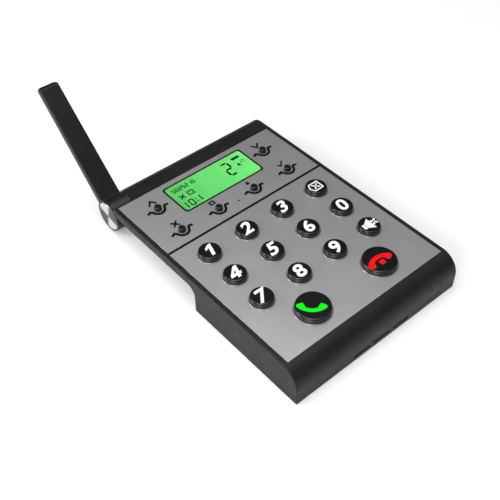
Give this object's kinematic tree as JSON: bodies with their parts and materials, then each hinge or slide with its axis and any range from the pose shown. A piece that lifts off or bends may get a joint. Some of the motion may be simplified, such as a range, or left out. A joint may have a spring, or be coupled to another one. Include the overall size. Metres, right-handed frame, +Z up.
{
  "type": "desk paging transmitter",
  "caption": "Desk paging keypad with a brushed metal panel, round push keys, a lit display, an arched black body and a hinged blade antenna.",
  "frame": {"origin": "on the table, below the middle of the whole outline, with the antenna included, at rest", "axes": "+X to the right across the panel, +Y to the back, where the antenna is, +Z up"},
  "size_m": [0.116, 0.2156, 0.0677],
  "materials": {
    "housing": "fine satin black plastic",
    "cover": "fine satin black plastic",
    "panel": "fine brushed anodised sheet with a soft sheen",
    "steel": "zinc plated",
    "rubber": "soft black rubber",
    "window": "clear polished window",
    "display": "lit green display with dark segments",
    "backlight": "translucent light guide",
    "inner_plastic": "plain moulded black plastic",
    "zebra": "layered conductive rubber",
    "board": "green solder mask",
    "chips": "moulded black packages",
    "tin": "tinned steel",
    "mat": "grey silicone",
    "foam": "closed cell foam",
    "gold": "plated contact metal",
    "battery": "shrink sleeve",
    "antenna": "satin black plastic",
    "chrome": "turned bright disc",
    "cable": "black cable jacket",
    "keys": "glossy black",
    "buttons": "glossy black"
  },
  "bodies": {
    "base": {"top_housing": "housing", "bottom_cover": "cover", "face_panel": "panel", "case_screws": "steel", "base_feet": "rubber", "rear_feet": "rubber", "display_window": "window", "display_glass": "display", "backlight": "backlight", "display_frame": "inner_plastic", "zebra_strips": "zebra", "main_board": "board", "board_chips": "chips", "rf_shield": "tin", "tact_switches": "chips", "keypad_mat": "mat", "contact_pills": "chips", "microphone": "tin", "speaker": "inner_plastic", "speaker_gasket": "foam", "power_jack": "inner_plastic", "jack_pin": "gold", "battery_pack": "battery", "battery_contacts": "gold", "wave_washer": "steel", "antenna_cable": "cable"},
    "antenna": {"antenna_blade": "antenna", "antenna_element": "gold", "knuckle_cap": "chrome", "retaining_clip": "steel"},
    "battery_door": {"battery_door": "cover"},
    "key_1": {"key_1": "keys"},
    "key_2": {"key_2": "keys"},
    "key_3": {"key_3": "keys"},
    "key_4": {"key_4": "keys"},
    "key_5": {"key_5": "keys"},
    "key_6": {"key_6": "keys"},
    "key_7": {"key_7": "keys"},
    "key_8": {"key_8": "keys"},
    "key_9": {"key_9": "keys"},
    "key_0": {"key_0": "keys"},
    "key_delete": {"key_delete": "keys"},
    "key_mute": {"key_mute": "keys"},
    "key_call": {"key_call": "keys"},
    "key_hangup": {"key_hangup": "keys"},
    "up_button": {"up_button": "buttons"},
    "down_button": {"down_button": "buttons"},
    "cancel_button": {"cancel_button": "buttons"},
    "left_button": {"left_button": "buttons"},
    "right_button": {"right_button": "buttons"},
    "ok_button": {"ok_button": "buttons"}
  },
  "joints": [
    {"name": "antenna_hinge", "type": "hinge", "parent": "base", "child": "antenna", "pos_m": [0, 0.04877, 0.0117], "axis": [1, 0, 0], "range_deg": [-45, 45]},
    {"name": "battery_door_slide", "type": "slide", "parent": "base", "child": "battery_door", "axis": [0, 1, 0], "range_m": [0, 0.045]},
    {"name": "key_1_press", "type": "slide", "parent": "base", "child": "key_1", "axis": [0, 0, 1], "range_m": [-0.001, 0], "stiffness_N_per_m": 500, "springref_m": 0.0005, "deforming": ["keypad_mat"]},
    {"name": "key_2_press", "type": "slide", "parent": "base", "child": "key_2", "axis": [0, 0, 1], "range_m": [-0.001, 0], "stiffness_N_per_m": 500, "springref_m": 0.0005, "deforming": ["keypad_mat"]},
    {"name": "key_3_press", "type": "slide", "parent": "base", "child": "key_3", "axis": [0, 0, 1], "range_m": [-0.001, 0], "stiffness_N_per_m": 500, "springref_m": 0.0005, "deforming": ["keypad_mat"]},
    {"name": "key_4_press", "type": "slide", "parent": "base", "child": "key_4", "axis": [0, 0, 1], "range_m": [-0.001, 0], "stiffness_N_per_m": 500, "springref_m": 0.0005, "deforming": ["keypad_mat"]},
    {"name": "key_5_press", "type": "slide", "parent": "base", "child": "key_5", "axis": [0, 0, 1], "range_m": [-0.001, 0], "stiffness_N_per_m": 500, "springref_m": 0.0005, "deforming": ["keypad_mat"]},
    {"name": "key_6_press", "type": "slide", "parent": "base", "child": "key_6", "axis": [0, 0, 1], "range_m": [-0.001, 0], "stiffness_N_per_m": 500, "springref_m": 0.0005, "deforming": ["keypad_mat"]},
    {"name": "key_7_press", "type": "slide", "parent": "base", "child": "key_7", "axis": [0, 0, 1], "range_m": [-0.001, 0], "stiffness_N_per_m": 500, "springref_m": 0.0005, "deforming": ["keypad_mat"]},
    {"name": "key_8_press", "type": "slide", "parent": "base", "child": "key_8", "axis": [0, 0, 1], "range_m": [-0.001, 0], "stiffness_N_per_m": 500, "springref_m": 0.0005, "deforming": ["keypad_mat"]},
    {"name": "key_9_press", "type": "slide", "parent": "base", "child": "key_9", "axis": [0, 0, 1], "range_m": [-0.001, 0], "stiffness_N_per_m": 500, "springref_m": 0.0005, "deforming": ["keypad_mat"]},
    {"name": "key_0_press", "type": "slide", "parent": "base", "child": "key_0", "axis": [0, 0, 1], "range_m": [-0.001, 0], "stiffness_N_per_m": 500, "springref_m": 0.0005, "deforming": ["keypad_mat"]},
    {"name": "key_delete_press", "type": "slide", "parent": "base", "child": "key_delete", "axis": [0, 0, 1], "range_m": [-0.001, 0], "stiffness_N_per_m": 500, "springref_m": 0.0005, "deforming": ["keypad_mat"]},
    {"name": "key_mute_press", "type": "slide", "parent": "base", "child": "key_mute", "axis": [0, 0, 1], "range_m": [-0.001, 0], "stiffness_N_per_m": 500, "springref_m": 0.0005, "deforming": ["keypad_mat"]},
    {"name": "key_call_press", "type": "slide", "parent": "base", "child": "key_call", "axis": [0, 0, 1], "range_m": [-0.001, 0], "stiffness_N_per_m": 500, "springref_m": 0.0005, "deforming": ["keypad_mat"]},
    {"name": "key_hangup_press", "type": "slide", "parent": "base", "child": "key_hangup", "axis": [0, 0, 1], "range_m": [-0.001, 0], "stiffness_N_per_m": 500, "springref_m": 0.0005, "deforming": ["keypad_mat"]},
    {"name": "up_button_press", "type": "slide", "parent": "base", "child": "up_button", "axis": [0, 0, 1], "range_m": [-0.00035, 0], "stiffness_N_per_m": 600, "springref_m": 0.0002},
    {"name": "down_button_press", "type": "slide", "parent": "base", "child": "down_button", "axis": [0, 0, 1], "range_m": [-0.00035, 0], "stiffness_N_per_m": 600, "springref_m": 0.0002},
    {"name": "cancel_button_press", "type": "slide", "parent": "base", "child": "cancel_button", "axis": [0, 0, 1], "range_m": [-0.00035, 0], "stiffness_N_per_m": 600, "springref_m": 0.0002},
    {"name": "left_button_press", "type": "slide", "parent": "base", "child": "left_button", "axis": [0, 0, 1], "range_m": [-0.00035, 0], "stiffness_N_per_m": 600, "springref_m": 0.0002},
    {"name": "right_button_press", "type": "slide", "parent": "base", "child": "right_button", "axis": [0, 0, 1], "range_m": [-0.00035, 0], "stiffness_N_per_m": 600, "springref_m": 0.0002},
    {"name": "ok_button_press", "type": "slide", "parent": "base", "child": "ok_button", "axis": [0, 0, 1], "range_m": [-0.00035, 0], "stiffness_N_per_m": 600, "springref_m": 0.0002}
  ]
}
